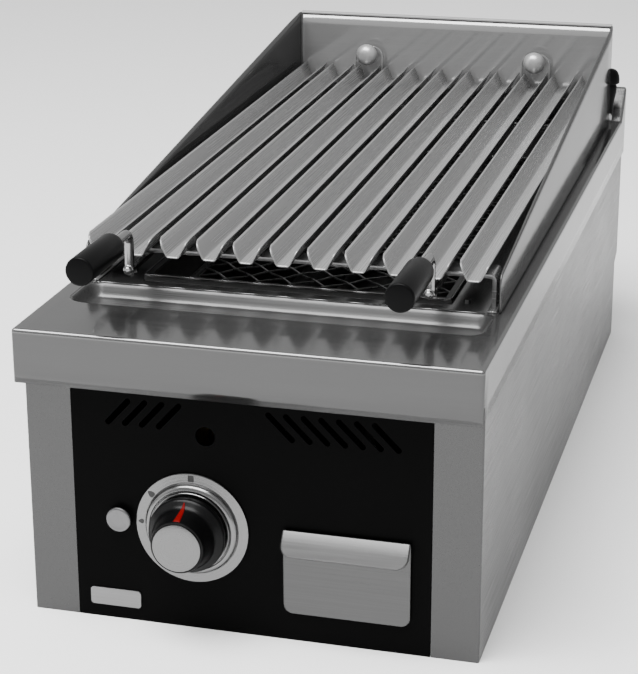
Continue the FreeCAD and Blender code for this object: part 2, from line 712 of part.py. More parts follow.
guardHalf = size("guardHalf")
guardFront = front + size("guardStart")
guardRear = front + size("guardEnd")
guard = prism("splash_guard", "YZ_Plane",
              [(guardFront, top), (guardRear, top), (guardRear, top + size("guardRear")),
               (guardFront, top + size("guardFront"))], -guardHalf, guardHalf)
roundEdges(guard, 9, lambda edge: edgeAlong(edge, "x") and near(edge.CenterOfMass.y, guardFront)
           and near(edge.CenterOfMass.z, top + size("guardFront")))
roundEdges(guard, 4, lambda edge: edgeAlong(edge, "z") and near(edge.CenterOfMass.y, guardRear))
addPocket(guard, "XY_Plane",
          rounded(-guardHalf + thick, guardHalf - thick, guardFront - 40, guardRear - thick, 3),
          top - 1, top + size("guardRear") + 10)
flangeInner = guardHalf - 10
for sign in (-1, 1):
    edges = sorted(((guardHalf - 0.6) * sign, flangeInner * sign), key=lambda d: d.number)
    addPad(guard, "XY_Plane", polygon(rectangle(*edges, guardFront, guardRear - 0.6)), top, top + thick)
    ears = sorted(((studX + 8.5) * sign, (studX - 12) * sign), key=lambda d: d.number)
    addPad(guard, "XY_Plane", polygon(rectangle(*ears, guardRear - 0.8, guardRear + 14.5)), top, top + thick)
crestZ = top + size("guardRear")
addPad(guard, "XY_Plane", rounded(-guardHalf + 1, guardHalf - 1, guardRear - thick, guardRear + 6.5, 3),
       crestZ - thick - 1, crestZ - 1)
addPocket(guard, "XY_Plane", circles([(-studX, studY), (studX, studY)], 3.6), top - 1, top + 5)
pinX = size("gratePitch") * 3
pinZ = top + 71
addPocket(guard, "XZ_Plane", circles([(-pinX, pinZ), (pinX, pinZ)], 3.1), guardRear - 4, guardRear + 2)

guardStud = [
    (0, -12), (5.4, -12), (5.4, -thick - 0.1), (3, -thick - 0.1), (3, thick + 0.1), (4.2, thick + 0.1),
    (4.2, 8), (3, 8), (3, 26), (0, 26),
]
paired("guard_studs", [
    turned(f"guard_stud_{side}", guardStud, (studX * sign, studY, top))
    for side, sign in sides
])
for name, sign in (("guard_knob_left", -1), ("guard_knob_right", 1)):
    turned(name, [
        (3.06, 10), (4.6, 10), (5.4, 22), (6.6, 29), (7.2, 38), (7, 45), (10.7, 45.6), (11, 48),
        (10.3, 55), (7.9, 60.4), (4, 62.4), (0, 62.8), (0, 27), (3.06, 27),
    ], (studX * sign, studY, top))
hangerPin = [
    (0, -5), (6, -5), (6, -0.1), (3, -0.1), (3, thick + 0.1), (4, thick + 0.1), (4, 18.5), (12.2, 18.5),
    (12.5, 20), (11.5, 24), (8.8, 27), (4.4, 28.6), (0, 29),
]
paired("hanger_pins", [
    turned(f"hanger_pin_{side}", hangerPin, (pinX * sign, guardRear, pinZ), facing)
    for side, sign in sides
])

# ---- grate: eleven channels on two bars, hooks, handles ----------------------------------

channelTop = size("grateTop") * 0.5
channelFloor = size("grateFloor") * 0.5
deep = size("grateDeep")
gauge = 1.5
channel = [
    (-channelTop, deep), (-channelFloor, 0), (channelFloor, 0), (channelTop, deep),
    (channelTop - 1.75, deep), (channelFloor - 0.95, gauge), (-channelFloor + 0.95, gauge),
    (-channelTop + 1.75, deep),
]
grateFront = front + size("grateStart")
grateFoot = top + size("grateLift")
tilt = Rotation(Vector(1, 0, 0), size("grateFall").number)
channelCount = 11
# the upper front corners of the flanks, rounded to about 5.5 mm
lipCorner = [(-1, deep - 5.5), (0, deep - 5.5), (0.4, deep - 3.4), (1.6, deep - 1.6),
             (3.4, deep - 0.4), (5.5, deep), (5.5, deep + 1), (-1, deep + 1)]
for index in range(channelCount):
    offset = index - (channelCount - 1) // 2
    body = prism(f"channel_{index + 1:02d}", "XZ_Plane", channel, 0, size("grateLength"),
                 (size("gratePitch") * offset, grateFront, grateFoot), tilt)
    bind(body, "Placement.Rotation.Angle", size("grateFall"))
    addPocket(body, "YZ_Plane", polygon(lipCorner), -channelTop - 1, channelTop + 1)

barY = front + 150
barDepth = 30
barThick = 4
legHalf = half - 18.8
legFoot = top + thick + 0.25
prism("front_bar", "XZ_Plane", [
    (-legHalf, legFoot), (-legHalf + barThick, legFoot), (-legHalf + barThick, grateFoot - barThick),
    (legHalf - barThick, grateFoot - barThick), (legHalf - barThick, legFoot), (legHalf, legFoot),
    (legHalf, grateFoot - 0.05), (-legHalf, grateFoot - 0.05),
], barY, barY + barDepth)

rearBarTop = top + 37.9
hookY = guardRear - thick - 9.5
prism("rear_bar", "XY_Plane", rectangle(-legHalf + 5, legHalf - 5, hookY - 34, hookY + 3),
      rearBarTop - barThick, rearBarTop)
hookInner = 14.4
hookOuter = 18.4
hookCrown = pinZ + 5.2
hangerHook = [
    (-hookOuter, rearBarTop + 0.05), (-hookInner, rearBarTop + 0.05), (-hookInner, hookCrown - 3),
    (-hookInner + 4, hookCrown), (hookInner - 4, hookCrown), (hookInner, hookCrown - 3),
    (hookInner, rearBarTop + 0.05), (hookOuter, rearBarTop + 0.05), (hookOuter, hookCrown),
    (hookOuter - 5, hookCrown + 4), (-hookOuter + 5, hookCrown + 4), (-hookOuter, hookCrown),
]
paired("hanger_hooks", [
    prism(f"hanger_hook_{side}", "XZ_Plane", hangerHook, hookY, hookY + 3, (pinX * sign, 0, 0))
    for side, sign in sides
])

handleX = size("gratePitch") * 4
gripZ = top + 57.5
gripFront = front - 10
elbowY = front + 107
boltZ = top + 24.7
gripRadius = size("gripRadius")
gripLength = size("gripLength")
armRadius = 4.2
bendSize = 9
lugY = elbowY + armRadius + 0.4
lugs = []
bolts = []
for side, sign in sides:
    x = handleX * sign
    turned(f"handle_grip_{side}", [
        (0, 0), (gripRadius - 1.6, 0), (gripRadius - 0.4, 0.5), (gripRadius, 1.8),
        (gripRadius, gripLength - 6), (gripRadius - 1.5, gripLength), (0, gripLength),
    ], (x, gripFront, gripZ), backing)
    curve = doc.addObject("Part::Torus", f"handle_bend_{side}")
    curve.Radius1 = bendSize
    curve.Radius2 = armRadius
    curve.Angle3 = 90
    curve.Placement.Rotation = Rotation(Vector(0, 1, 0), Vector(0, 0, 1), Vector(1, 0, 0), "ZXY")
    for letter, value in zip("xyz", (x, elbowY - bendSize, gripZ - bendSize)):
        bind(curve, f"Placement.Base.{letter}", value)
    joined(f"handle_arm_{side}", [
        cylinder(f"handle_collar_{side}", 7.2, 9, (x, gripFront + gripLength + 0.05, gripZ), backing),
        cylinder(f"handle_rod_{side}", armRadius, elbowY - bendSize - gripFront - gripLength - 5,
                 (x, gripFront + gripLength + 5, gripZ), backing),
        curve,
        cylinder(f"handle_drop_{side}", armRadius, gripZ - bendSize - boltZ, (x, elbowY, boltZ), Rotation()),
        cylinder(f"handle_eye_{side}", armRadius + 0.4, 2 * armRadius + 0.6,
                 (x, elbowY - armRadius - 0.3, boltZ), backing),
    ])
    lug = prism(f"handle_lug_{side}", "YZ_Plane", [
        (lugY, boltZ - 5), (lugY + 3, boltZ - 5), (lugY + 3, grateFoot - 8.1),
        (barY + 20, grateFoot - 8.1), (barY + 20, grateFoot - 4.1), (lugY, grateFoot - 4.1),
    ], x - 4.5, x + 4.5)
    lugs.append(lug)
    bolt = turned(f"handle_bolt_{side}", [
        (0, 0), (2.6, 0.3), (3.4, 1.2), (3.4, 3.4), (0, 3.4),
    ], (x, elbowY - armRadius - 3.8, boltZ), backing)
    bolts.append(bolt)
paired("handle_lugs", lugs)
paired("handle_bolts", bolts)


def screwGroup(label, places, radius, height, turn):
    """Identical screws as one node of separate solids."""
    heads = []
    for index, at in enumerate(places):
        head = cylinder(f"{label}_{index}", radius, height, at, turn)
        heads.append(head)
    group = doc.addObject("Part::Compound", label)
    group.Label = label
    group.Links = heads
    pieces.append(group)


screwGroup("firebox_screws",
           [(sign * (fireHalf + 13), y, top) for sign in (-1, 1) for y in (fireFront + 5, fireRear - 5)],
           2.8, 2, Rotation())
screwGroup("rear_screws",
           [(sign * (baseHalf - 12), rearHigh + thick, z) for sign in (-1, 1) for z in (120, top - 60)],
           3.5, 2, backing)

# ---- checks and export ----------------------------------------------------------------------

doc.recompute()
failed = [item.Label for item in doc.Objects if "Invalid" in item.State or "Error" in item.State]
if failed:
    raise RuntimeError(f"these objects failed: {failed}")
os.makedirs("parts", exist_ok=True)
for piece in pieces:
    shape = piece.Shape
    if shape.isNull() or not shape.isValid() or shape.Volume <= 0:
        raise RuntimeError(f"{piece.Label} has no valid solid")
    shape.exportStep(f"parts/{piece.Label}.step")
print(len(pieces), "pieces written")
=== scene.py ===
import math
import bmesh
import bpy
import numpy as np
from mathutils import Matrix, Vector


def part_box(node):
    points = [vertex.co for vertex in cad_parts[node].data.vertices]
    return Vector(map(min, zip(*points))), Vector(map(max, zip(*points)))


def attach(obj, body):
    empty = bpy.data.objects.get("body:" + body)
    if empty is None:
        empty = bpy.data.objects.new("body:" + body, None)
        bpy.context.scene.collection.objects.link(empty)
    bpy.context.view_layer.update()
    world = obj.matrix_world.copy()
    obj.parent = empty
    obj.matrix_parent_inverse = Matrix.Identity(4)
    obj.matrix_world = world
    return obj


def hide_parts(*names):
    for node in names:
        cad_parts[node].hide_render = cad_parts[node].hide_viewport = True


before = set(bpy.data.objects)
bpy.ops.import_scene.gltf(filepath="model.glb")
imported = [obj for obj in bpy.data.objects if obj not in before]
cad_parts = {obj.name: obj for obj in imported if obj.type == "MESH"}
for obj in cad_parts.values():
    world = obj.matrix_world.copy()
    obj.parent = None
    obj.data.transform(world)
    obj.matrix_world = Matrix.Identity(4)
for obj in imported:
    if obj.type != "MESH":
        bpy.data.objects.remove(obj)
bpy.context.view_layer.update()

mm = 0.001
deckTop = 0.266
frontY = -0.450
panelY = frontY + 0.0183


# grids, profiles and paths

def gridFaces(rows, columns, closed=False):
    # cell (r, c) joins the four points around it; a closed grid wraps its last column to the first
    r = np.arange(rows - 1)[:, None]
    c = np.arange(columns if closed else columns - 1)[None, :]
    nextC = (c + 1) % columns
    corners = [r * columns + c, r * columns + nextC, (r + 1) * columns + nextC, (r + 1) * columns + c]
    return np.stack(np.broadcast_arrays(*corners), -1).reshape(-1, 4)


def roundedLine(points, radii, steps=6, closed=False):
    # each corner of the line becomes an arc that touches both its runs
    points = [np.array(p, float) for p in points]
    count = len(points)
    radii = [radii] * count if np.isscalar(radii) else radii
    made = []
    for i, corner in enumerate(points):
        if (not closed and i in (0, count - 1)) or radii[i] <= 0:
            made.append(corner[None])
            continue
        back = points[i - 1] - corner
        ahead = points[(i + 1) % count] - corner
        back, ahead = back / np.linalg.norm(back), ahead / np.linalg.norm(ahead)
        turn = math.pi - math.acos(np.clip(back @ ahead, -1, 1))
        reach = radii[i] * math.tan(turn / 2)
        centre = corner + (back + ahead) / np.linalg.norm(back + ahead) * math.hypot(radii[i], reach)
        start, end = corner + back * reach - centre, corner + ahead * reach - centre
        t = np.linspace(0, 1, steps + 1)[:, None]
        made.append(centre + (start * np.sin((1 - t) * turn) + end * np.sin(t * turn)) / math.sin(turn))
    return np.concatenate(made)


def widthGrid(heights, halfWidths, columns):
    # x runs from -halfWidth to halfWidth on every row, closer together near both ends
    u = np.sin(np.linspace(-1, 1, columns) * math.pi / 2)
    return halfWidths[:, None] * u[None, :], np.repeat(heights[:, None], columns, 1)


def cornerHalfWidths(distance, half, radius):
    # near an end with round corners the half width shrinks along a quarter circle
    d = np.clip(radius - distance, 0, radius)
    return half - (radius - np.sqrt(np.maximum(radius ** 2 - d ** 2, 0)))


def endSpaced(length, radius, middle=6):
    # levels from 0 to length, close together over the corner radius at both ends
    arc = radius * (1 - np.cos(np.linspace(0, math.pi / 2, 8)))
    return np.concatenate([arc, np.linspace(radius, length - radius, middle + 1)[1:-1], length - arc[::-1]])


def makePiece(name, grids, body, nodes, material, sharp=35, bevel=0, wall=0, recalc=False):
    # every grid is (points, faces); they are put together into one mesh in the row frame
    pointList, faceList, offset = [], [], 0
    for points, faces in grids:
        points = points.reshape(-1, 3)
        pointList.append(points)
        faceList.append(faces + offset)
        offset += len(points)
    mesh = bpy.data.meshes.new(name)
    mesh.from_pydata(np.concatenate(pointList).tolist(), [], np.concatenate(faceList).tolist())
    work = bmesh.new()
    work.from_mesh(mesh)
    bmesh.ops.remove_doubles(work, verts=work.verts, dist=2e-6)
    bmesh.ops.dissolve_degenerate(work, edges=work.edges, dist=1e-7)
    if recalc:
        bmesh.ops.recalc_face_normals(work, faces=work.faces)
    work.to_mesh(mesh)
    work.free()
    piece = bpy.data.objects.new(name, mesh)
    bpy.context.scene.collection.objects.link(piece)
    if wall:
        solid = piece.modifiers.new("wall", "SOLIDIFY")
        solid.thickness = abs(wall)
        solid.offset = -1 if wall > 0 else 1
        solid.use_even_offset = True
    if bevel:
        soft = piece.modifiers.new("edges", "BEVEL")
        soft.width = bevel
        soft.segments = 2
        soft.limit_method = "ANGLE"
        soft.angle_limit = math.radians(50)
        soft.harden_normals = False
    mesh.polygons.foreach_set("use_smooth", np.ones(len(mesh.polygons), bool))
    mesh.set_sharp_from_angle(angle=math.radians(sharp))
    mesh.materials.append(material)
    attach(piece, body)
    if nodes:
        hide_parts(*nodes)
    return piece


def latheGrid(profile, centre, axis=(0, 0, 1), segments=64):
    # the profile's (radius, height) pairs are carried round the axis
    profile = np.array(profile, float) * mm
    axis = Vector(axis).normalized()
    side = axis.orthogonal().normalized()
    other = axis.cross(side)
    angle = np.linspace(0, 2 * math.pi, segments, endpoint=False)
    ring = np.cos(angle)[:, None] * np.array(side) + np.sin(angle)[:, None] * np.array(other)
    outward = profile[:, 0, None, None] * ring[None]
    points = np.array(centre) + outward + profile[:, 1, None, None] * np.array(axis)
    return points, gridFaces(len(profile), segments, closed=True)


def sweepGrid(section, path, side, ends=True):
    # the closed section's (across, out) pairs ride on every point of a flat path; both ends close to a point
    path, side, section = np.array(path, float), np.array(side, float), np.array(section, float)
    along = np.gradient(path, axis=0)
    along /= np.linalg.norm(along, axis=1)[:, None]
    out = np.cross(side, along)
    shape = section[:, 0, None] * side
    points = path[:, None] + shape[None] + section[None, :, 1, None] * out[:, None]
    if ends:
        first = np.repeat(points[:1].mean(1, keepdims=True), len(section), 1)
        last = np.repeat(points[-1:].mean(1, keepdims=True), len(section), 1)
        points = np.concatenate([first, points[:1], points, points[-1:], last])
    return points, gridFaces(len(points), len(section), closed=True)


def circleSection(radius, segments=24):
    angle = np.linspace(0, 2 * math.pi, segments, endpoint=False)
    return np.stack([np.cos(angle), -np.sin(angle)], 1) * radius


def barSection(width, height, radius):
    # a rectangle with round edges, as a closed loop
    w, h = width / 2, height / 2
    return roundedLine([(-w, h), (w, h), (w, -h), (-w, -h)], radius, 3, closed=True)


# finishes

def newMaterial(name, colour, metallic, roughness, **sockets):
    material = bpy.data.materials.new(name)
    material.use_nodes = True
    shader = material.node_tree.nodes["Principled BSDF"]
    shader.inputs["Base Color"].default_value = (*colour, 1)
    shader.inputs["Metallic"].default_value = metallic
    shader.inputs["Roughness"].default_value = roughness
    for socket, value in sockets.items():
        shader.inputs[socket.replace("_", " ")].default_value = value
    return material, material.node_tree, shader


def noiseOn(tree, scale, stretch=(1, 1, 1), detail=3.0, rough=0.55):
    coords = tree.nodes.new("ShaderNodeTexCoord")
    mapping = tree.nodes.new("ShaderNodeMapping")
    mapping.inputs["Scale"].default_value = stretch
    noise = tree.nodes.new("ShaderNodeTexNoise")
    noise.inputs["Scale"].default_value = scale
    noise.inputs["Detail"].default_value = detail
    noise.inputs["Roughness"].default_value = rough
    tree.links.new(coords.outputs["Object"], mapping.inputs["Vector"])
    tree.links.new(mapping.outputs["Vector"], noise.inputs["Vector"])
    return noise.outputs["Fac"]


def spread(tree, source, low, high, fromLow=0.3, fromHigh=0.7):
    ranged = tree.nodes.new("ShaderNodeMapRange")
    ranged.inputs["From Min"].default_value = fromLow
    ranged.inputs["From Max"].default_value = fromHigh
    ranged.inputs["To Min"].default_value = low
    ranged.inputs["To Max"].default_value = high
    tree.links.new(source, ranged.inputs["Value"])
    return ranged.outputs["Result"]


def blendColours(tree, factor, first, second):
    mix = tree.nodes.new("ShaderNodeMix")
    mix.data_type = "RGBA"
    mix.inputs[6].default_value = (*first, 1)
    mix.inputs[7].default_value = (*second, 1)
    tree.links.new(factor, mix.inputs[0])
    return mix.outputs[2]


def addBump(tree, shader, height, strength, distance):
    bump = tree.nodes.new("ShaderNodeBump")
    bump.inputs["Strength"].default_value = strength
    bump.inputs["Distance"].default_value = distance
    tree.links.new(height, bump.inputs["Height"])
    tree.links.new(bump.outputs["Normal"], shader.inputs["Normal"])


def paintLightBeyond(tree, colour, axis, start, factor):
    # past the start on one axis, whichever its sign, the tone is multiplied by the factor: painted light
    # where the factor is above one, painted shade where it is below
    coords = tree.nodes.new("ShaderNodeTexCoord")
    parts = tree.nodes.new("ShaderNodeSeparateXYZ")
    size = tree.nodes.new("ShaderNodeMath")
    size.operation = "ABSOLUTE"
    tree.links.new(coords.outputs["Object"], parts.inputs[0])
    tree.links.new(parts.outputs[axis], size.inputs[0])
    share = spread(tree, size.outputs[0], 1.0, factor, start, start + 0.001)
    mix = tree.nodes.new("ShaderNodeVectorMath")
    mix.operation = "SCALE"
    tree.links.new(colour, mix.inputs[0])
    tree.links.new(share, mix.inputs["Scale"])
    return mix.outputs["Vector"]


def brushedSteel(name, tone, rough, grain, contrast=0.12, bump=0.06, metallic=1.0, paintedShading=None, edge=1.0):
    # fine streaks run along one axis, a slow mottle changes the sheen; edge dims the glancing reflection; the
    # optional axis, level and factor scale the tone past that level, painted light and shade
    stretch = [900, 900, 900]
    stretch["xyz".index(grain)] = 9
    material, tree, shader = newMaterial(name, (tone, tone, tone * 1.01), metallic, rough)
    shader.inputs["Specular Tint"].default_value = (edge, edge, edge, 1)
    streaks = noiseOn(tree, 1.0, stretch, 2.0)
    cloud = noiseOn(tree, 7.0, (1, 1, 1), 3.0)
    tones = blendColours(tree, spread(tree, streaks, 0, 1, 0.25, 0.75),
                         (tone * (1 - contrast),) * 3, (tone * (1 + contrast * 0.7),) * 3)
    if paintedShading:
        tones = paintLightBeyond(tree, tones, *paintedShading)
    tree.links.new(tones, shader.inputs["Base Color"])
    add = tree.nodes.new("ShaderNodeMath")
    add.operation = "ADD"
    tree.links.new(spread(tree, streaks, rough - 0.05, rough + 0.05), add.inputs[0])
    tree.links.new(spread(tree, cloud, -0.03, 0.04), add.inputs[1])
    tree.links.new(add.outputs[0], shader.inputs["Roughness"])
    addBump(tree, shader, streaks, bump, 0.0002)
    return material


def speckled(name, colour, metallic, rough, scale, bump, tint=1.5, **sockets):
    # a cast or moulded skin: small pits in the bump, slow changes in tone and sheen
    material, tree, shader = newMaterial(name, colour, metallic, rough, **sockets)
    fine = noiseOn(tree, scale, (1, 1, 1), 4.0, 0.6)
    slow = noiseOn(tree, 18.0, (1, 1, 1), 2.0)
    lighter = tuple(min(c * tint, 1) for c in colour)
    tree.links.new(blendColours(tree, spread(tree, slow, 0, 1), colour, lighter), shader.inputs["Base Color"])
    tree.links.new(spread(tree, fine, rough - 0.06, rough + 0.08), shader.inputs["Roughness"])
    addBump(tree, shader, fine, bump, 0.0002)
    return material


def spunMetal(name, tone, rough, centre, pitch):
    # rings of equal distance from the axis through centre, as a lathe tool leaves them
    material, tree, shader = newMaterial(name, (tone,) * 3, 1.0, rough)
    coords = tree.nodes.new("ShaderNodeTexCoord")
    mapping = tree.nodes.new("ShaderNodeMapping")
    mapping.vector_type = "TEXTURE"
    mapping.inputs["Location"].default_value = centre
    parts = tree.nodes.new("ShaderNodeSeparateXYZ")
    joined = tree.nodes.new("ShaderNodeCombineXYZ")
    length = tree.nodes.new("ShaderNodeVectorMath")
    length.operation = "LENGTH"
    rings = tree.nodes.new("ShaderNodeTexNoise")
    rings.noise_dimensions = "1D"
    rings.inputs["Scale"].default_value = 1 / pitch
    rings.inputs["Detail"].default_value = 2.0
    tree.links.new(coords.outputs["Object"], mapping.inputs["Vector"])
    tree.links.new(mapping.outputs["Vector"], parts.inputs[0])
    tree.links.new(parts.outputs["X"], joined.inputs["X"])
    tree.links.new(parts.outputs["Z"], joined.inputs["Z"])
    tree.links.new(joined.outputs[0], length.inputs[0])
    tree.links.new(length.outputs["Value"], rings.inputs["W"])
    tree.links.new(spread(tree, rings.outputs["Fac"], rough - 0.05, rough + 0.06), shader.inputs["Roughness"])
    tree.links.new(blendColours(tree, rings.outputs["Fac"], (tone * 0.85,) * 3, (tone * 1.1,) * 3),
                   shader.inputs["Base Color"])
    addBump(tree, shader, rings.outputs["Fac"], 0.25, 0.0003)
    return material


def firedSteel(name, rimLevel):
    # blackened inside; bright only where the sheet lies on top of the deck
    material, tree, shader = newMaterial(name, (0.02, 0.02, 0.02), 0.6, 0.6)
    coords = tree.nodes.new("ShaderNodeTexCoord")
    parts = tree.nodes.new("ShaderNodeSeparateXYZ")
    tree.links.new(coords.outputs["Object"], parts.inputs[0])
    rim = spread(tree, parts.outputs["Z"], 0, 1, rimLevel - 0.002, rimLevel)
    soot = noiseOn(tree, 40.0, (1, 1, 1), 4.0)
    tones = blendColours(tree, spread(tree, soot, 0, 1), (0.006, 0.006, 0.006), (0.03, 0.029, 0.028))
    mix = tree.nodes.new("ShaderNodeMix")
    mix.data_type = "RGBA"
    mix.inputs[7].default_value = (0.16, 0.16, 0.16, 1)
    tree.links.new(rim, mix.inputs[0])
    tree.links.new(tones, mix.inputs[6])
    tree.links.new(mix.outputs[2], shader.inputs["Base Color"])
    tree.links.new(rim, shader.inputs["Metallic"])
    tree.links.new(spread(tree, rim, 0.62, 0.3, 0, 1), shader.inputs["Roughness"])
    addBump(tree, shader, soot, 0.2, 0.0003)
    return material


knobCentre = (-0.0505, panelY, 0.0946)
steelX = brushedSteel("sheetGrainAcross", 0.085, 0.3, "x", 0.1, 0.02)
# painted light: the deck's top and upstand, above a level 4 mm under the deck, get 1.85 times the tone of the
# fascia and flanges below
deckSteel = brushedSteel("deckGrainAcross", 0.08, 0.13, "x", 0.05, 0.004, 0.85,
                         paintedShading=("Z", deckTop - 0.004, 1.85), edge=0.78)
# painted light and shade: the trough, pressed in the same sheet as the deck, gets its own darker and more
# diffuse tone, set for how its band looks under the light
troughPaintedTone = brushedSteel("troughPaintedTone", 0.07, 0.3, "x", 0.06, 0.01, 0.6)
steelY = brushedSteel("sheetGrainAlong", 0.072, 0.3, "y", 0.08, 0.02, edge=0.84)
# painted shade: the guard's side walls, past x = 0.1825 on either side, keep only 0.35 of the tone
guardSteel = brushedSteel("guardSteel", 0.28, 0.10, "x", 0.04, 0.002, 0.6,
                          paintedShading=("X", 0.1825, 0.35), edge=0.3)
rimSteel = brushedSteel("rimSteel", 0.28, 0.45, "x", 0.04, 0.01, 0.2)
channelSteel = brushedSteel("channelSteel", 0.25, 0.26, "y", 0.05, 0.006, 0.5)
brightSteel = brushedSteel("brightSteel", 0.25, 0.14, "y", 0.05, 0.01)
pinSteel = brushedSteel("pinSteel", 0.36, 0.32, "y", 0.05, 0.01, 0.6)
barSteel = brushedSteel("barSteel", 0.28, 0.22, "x", 0.06, 0.01, 0.7)
insideSteel = brushedSteel("insideSteel", 0.18, 0.45, "y")
panelPaint = speckled("panelPaint", (0.0008, 0.0008, 0.0008), 0.0, 0.4, 1400, 0.03, 1.2,
                      Specular_IOR_Level=0.025)
grip = speckled("gripPlastic", (0.0015, 0.0015, 0.0016), 0.0, 0.34, 1100, 0.1, 1.2, Specular_IOR_Level=0.06)
knobPlastic = speckled("knobPlastic", (0.0012, 0.0012, 0.0013), 0.0, 0.3, 1500, 0.04, 1.2,
                       Specular_IOR_Level=0.12)
blackSteel = speckled("blackedSteel", (0.004, 0.004, 0.004), 0.3, 0.6, 300, 0.2, Specular_IOR_Level=0.15)
meshSteel = speckled("meshSteel", (0.36, 0.36, 0.36), 1.0, 0.3, 500, 0.1)
brass = speckled("machinedBrass", (0.40, 0.29, 0.12), 1.0, 0.32, 500, 0.05, 1.2)
ceramic = speckled("glazedCeramic", (0.72, 0.70, 0.64), 0.0, 0.22, 200, 0.04, 1.1)
redPaint = speckled("redPaint", (0.09, 0.001, 0.001), 0.0, 0.5, 900, 0.03, 1.2, Specular_IOR_Level=0.05)
# black of the printed dial marks, also used for the painted shadow strips under the side flanges
inkAndShadowBlack = speckled("inkAndShadowBlack", (0.004, 0.004, 0.004), 0.0, 0.5, 900, 0.05)
buttonSteel = speckled("buttonSteel", (0.14, 0.14, 0.142), 1.0, 0.38, 1200, 0.05, 1.1)
badgeSteel = brushedSteel("badgeSteel", 0.2, 0.4, "x")
capSteel = spunMetal("spunCap", 0.165, 0.28, knobCentre, 0.0006)
bezelSteel = spunMetal("spunBezel", 0.17, 0.24, knobCentre, 0.0008)
fireSteel = firedSteel("fireboxSteel", deckTop + 0.0003)
print("finishes ready")


# worktop: deck with its trough, bends, flanges and rear upstand

deck = {"half": 0.200, "bend": 0.003, "upstandFoot": 0.416, "rise": 0.0346, "run": 0.034,
        "fasciaFoot": 0.2185, "flangeFoot": 0.2225, "wall": 0.0015,
        "troughHalf": 0.183, "troughFront": -0.3705, "troughRear": -0.3110, "troughDeep": 0.012,
        "troughCorner": 0.015, "troughRamp": 0.0095,
        "holeHalf": 0.1365, "holeFront": -0.2845, "holeRear": 0.3485,
        "slitTop": 0.2345, "slitFront": -0.4485, "slitRear": -0.4465}


def deckLevel(x, y):
    # the flat level, less the trough's smooth ramp inside its rounded outline, plus the rear slope
    mid = (deck["troughFront"] + deck["troughRear"]) / 2
    halfDepth = (deck["troughRear"] - deck["troughFront"]) / 2
    qx = np.abs(x) - deck["troughHalf"] + deck["troughCorner"]
    qy = np.abs(y - mid) - halfDepth + deck["troughCorner"]
    outside = np.hypot(np.maximum(qx, 0), np.maximum(qy, 0)) + np.minimum(np.maximum(qx, qy), 0)
    inward = np.clip((deck["troughCorner"] - outside) / deck["troughRamp"], 0, 1)
    ramp = inward * inward * (3 - 2 * inward)
    rise = np.maximum(y - deck["upstandFoot"], 0) * deck["rise"] / deck["run"]
    return deckTop - deck["troughDeep"] * ramp + rise


def worktopPiece():
    half, bend = deck["half"] - deck["bend"], deck["bend"]
    near, far = frontY + bend, -frontY - bend
    edge = np.linspace(0.166, 0.186, 15)
    xs = np.unique(np.round(np.concatenate([[-half, half, -deck["holeHalf"], deck["holeHalf"]],
                                            edge, -edge, np.linspace(-0.166, 0.166, 41)]), 6))
    ys = np.unique(np.round(np.concatenate([[near, deck["slitRear"], far, deck["holeFront"], deck["holeRear"],
                                             deck["upstandFoot"]],
                                            np.linspace(near, -0.374, 6), np.linspace(-0.373, -0.3085, 44),
                                            np.linspace(-0.30, 0.41, 12), np.linspace(0.417, far, 5)]), 6))
    gx, gy = np.meshgrid(xs, ys)
    points = np.stack([gx, gy, deckLevel(gx, gy)], -1)
    faces = gridFaces(len(ys), len(xs))
    flat = points.reshape(-1, 3)
    middle = flat[faces].mean(1)
    inHole = (np.abs(middle[:, 0]) < deck["holeHalf"]) & (middle[:, 1] > deck["holeFront"]) & \
             (middle[:, 1] < deck["holeRear"])
    level = deckLevel(middle[:, 0], middle[:, 1])
    inTrough = (level < deckTop - 0.00002) & (middle[:, 1] < -0.30)
    top = (points, faces[~inHole & ~inTrough])
    makePiece("trough_sheet", [(points, faces[inTrough])], "casing", [], troughPaintedTone,
              sharp=60, wall=deck["wall"])
    # the border of that grid is carried out and down: a quarter-round bend, then the upright flange
    fan = np.linspace(0, math.pi / 2, 6)
    sides = [(np.stack([xs, np.full_like(xs, near)], 1), -math.pi / 2),
             (np.stack([np.full_like(ys, half), ys], 1), 0.0),
             (np.stack([xs[::-1], np.full_like(xs, far)], 1), math.pi / 2),
             (np.stack([np.full_like(ys, -half), ys[::-1]], 1), math.pi)]
    spots, angles = [], []
    for line, angle in sides:
        spots += [line, np.repeat(line[-1:], 4, 0)]
        angles += [np.full(len(line), angle), angle + fan[1:-1]]
    spots, angles = np.concatenate(spots), np.concatenate(angles)
    outward = np.stack([np.cos(angles), np.sin(angles)], 1)
    turn = np.linspace(0, math.pi / 2, 7)[:, None]
    arcXy = spots[None] + outward[None] * (bend * np.sin(turn))[..., None]
    drop = np.where(spots[:, 1] > far - 0.0001, 0.35, 1.0)   # the rear crest is folded more sharply
    arcZ = deckLevel(arcXy[..., 0], arcXy[..., 1]) - drop * bend * (1 - np.cos(turn))
    foot = np.where(arcXy[-1, :, 1] < frontY + 0.0017, deck["fasciaFoot"], deck["flangeFoot"])
    downZ = np.stack([np.minimum(arcZ[-1], 0.262), np.full(len(foot), deck["slitTop"]), foot])
    rows = np.concatenate([np.concatenate([arcXy, np.repeat(arcXy[-1:], 3, 0)]),
                           np.concatenate([arcZ, downZ])[..., None]], -1)
    skirt = gridFaces(len(rows), rows.shape[1], closed=True)
    cell = rows.reshape(-1, 3)[skirt].mean(1)
    # a narrow slit parts the fascia from both side flanges
    slit = (cell[:, 2] < deck["slitTop"]) & (cell[:, 1] > deck["slitFront"]) & (cell[:, 1] < deck["slitRear"])
    return makePiece("worktop_sheet", [top, (rows, skirt[~slit][:, ::-1])], "casing", ["worktop"],
                     deckSteel, sharp=40, wall=deck["wall"])


